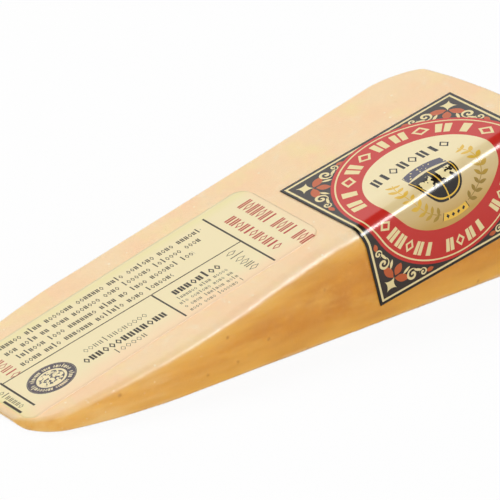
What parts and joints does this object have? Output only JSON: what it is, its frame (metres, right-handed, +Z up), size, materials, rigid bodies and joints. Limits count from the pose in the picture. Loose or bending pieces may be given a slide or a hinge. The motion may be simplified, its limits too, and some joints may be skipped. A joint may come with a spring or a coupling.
{
  "type": "wrapped cheese wedge",
  "caption": "Long thin wedge of hard cheese with an amber rind, lying on a cut face, sealed in tight clear film with a square crest label and a long text label.",
  "frame": {"origin": "middle of the wedge's bounding box, on the surface that its lower cut face rests on", "axes": "+X from the thin tip to the thick rind end, +Y from the side the crest label hangs down to the far side, +Z up"},
  "size_m": [0.151, 0.0468, 0.0383],
  "materials": {
    "wrapped_cheese": "hard cheese seen through tight glossy clear film",
    "crest_print": "glossy print in red, cream, gold and near black under the film",
    "text_print": "soft-edged cream print with dark and red marks under the film"
  },
  "bodies": {
    "root": {"wrapped_wedge": "wrapped_cheese", "crest_label": "crest_print", "text_label": "text_print"}
  },
  "joints": []
}
